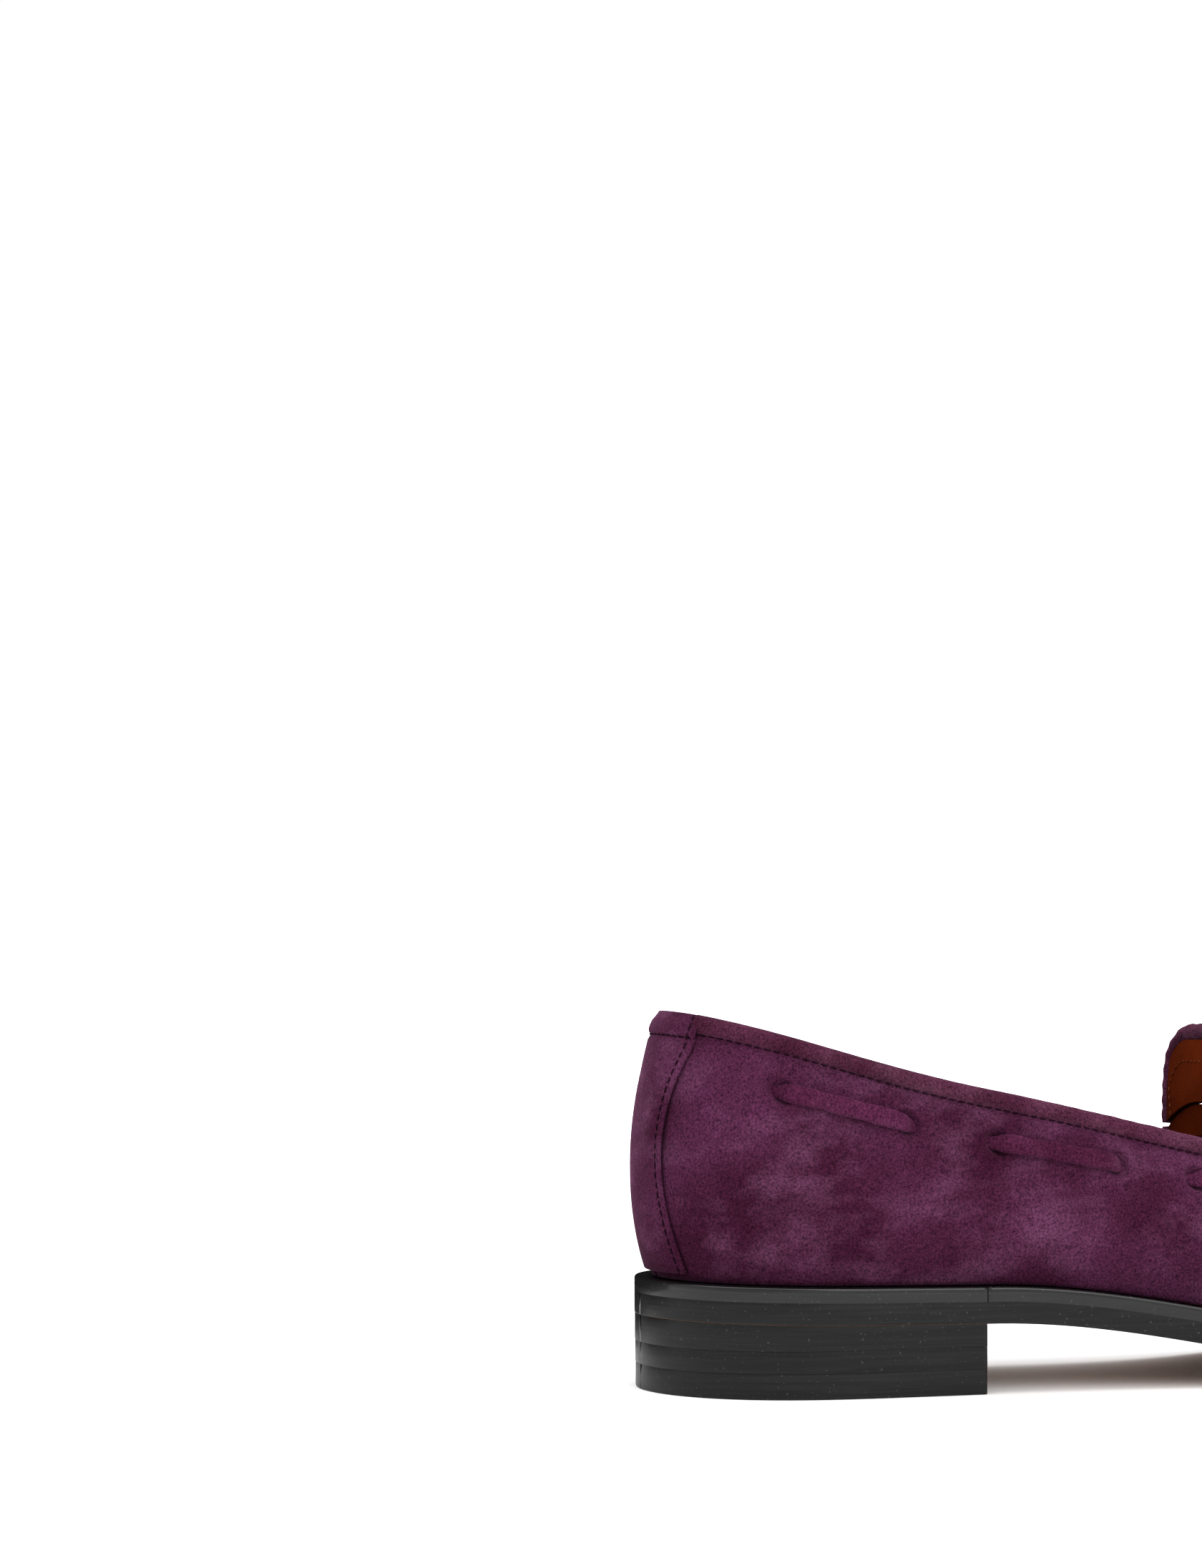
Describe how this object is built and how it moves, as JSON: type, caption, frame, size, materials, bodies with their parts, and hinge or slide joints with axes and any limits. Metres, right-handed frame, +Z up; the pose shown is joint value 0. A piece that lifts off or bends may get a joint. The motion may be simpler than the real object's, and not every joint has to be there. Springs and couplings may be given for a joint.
{
  "type": "penny loafer",
  "caption": "Slip-on moccasin-front loafer for the right foot, with a slotted saddle strap, a collar lace woven along the topline, a hinged tongue and a stacked heel.",
  "frame": {"origin": "on the floor, under the middle of the shoe's outline", "axes": "+X to the toe, +Y to the inner (medial) side, +Z up; the outer side of the right foot is -Y"},
  "size_m": [0.3011, 0.1034, 0.0894],
  "materials": {
    "purple_suede": "napped, matt suede, aubergine purple",
    "tan_leather": "smooth, satin, cognac",
    "black_sole_leather": "stained and waxed black leather, semi-gloss edge",
    "black_rubber": "matt black rubber",
    "brass": "plain",
    "steel": "plain spring steel strip",
    "cork": "ground cork",
    "fibre_board": "pressed fibre board"
  },
  "bodies": {
    "shoe": {"outsole": "black_sole_leather", "welt": "black_sole_leather", "heel_rand": "black_sole_leather", "heel_lift_1": "black_sole_leather", "heel_lift_2": "black_sole_leather", "top_lift": "black_rubber", "heel_nail_1": "brass", "heel_nail_2": "brass", "heel_nail_3": "brass", "heel_nail_4": "brass", "heel_nail_5": "brass", "shank": "steel", "cork_filler": "cork", "insole": "fibre_board", "sock_liner": "tan_leather", "quarter_lateral": "purple_suede", "quarter_medial": "purple_suede", "vamp": "purple_suede", "apron": "purple_suede", "saddle_strap": "purple_suede", "back_strip": "purple_suede", "heel_counter": "fibre_board", "toe_puff": "fibre_board", "quarter_lining": "tan_leather", "vamp_lining": "tan_leather", "apron_lining": "tan_leather", "binding_lateral": "purple_suede", "binding_medial": "purple_suede", "collar_lace": "purple_suede"},
    "tongue": {"tongue": "purple_suede", "tongue_lining": "tan_leather"}
  },
  "joints": [
    {"name": "tongue_hinge", "type": "hinge", "parent": "shoe", "child": "tongue", "pos_m": [-0.00325, -0.00151, 0.06475], "axis": [0, 1, 0], "range_deg": [-6, 25], "stiffness_Nm_per_rad": 0.02}
  ]
}
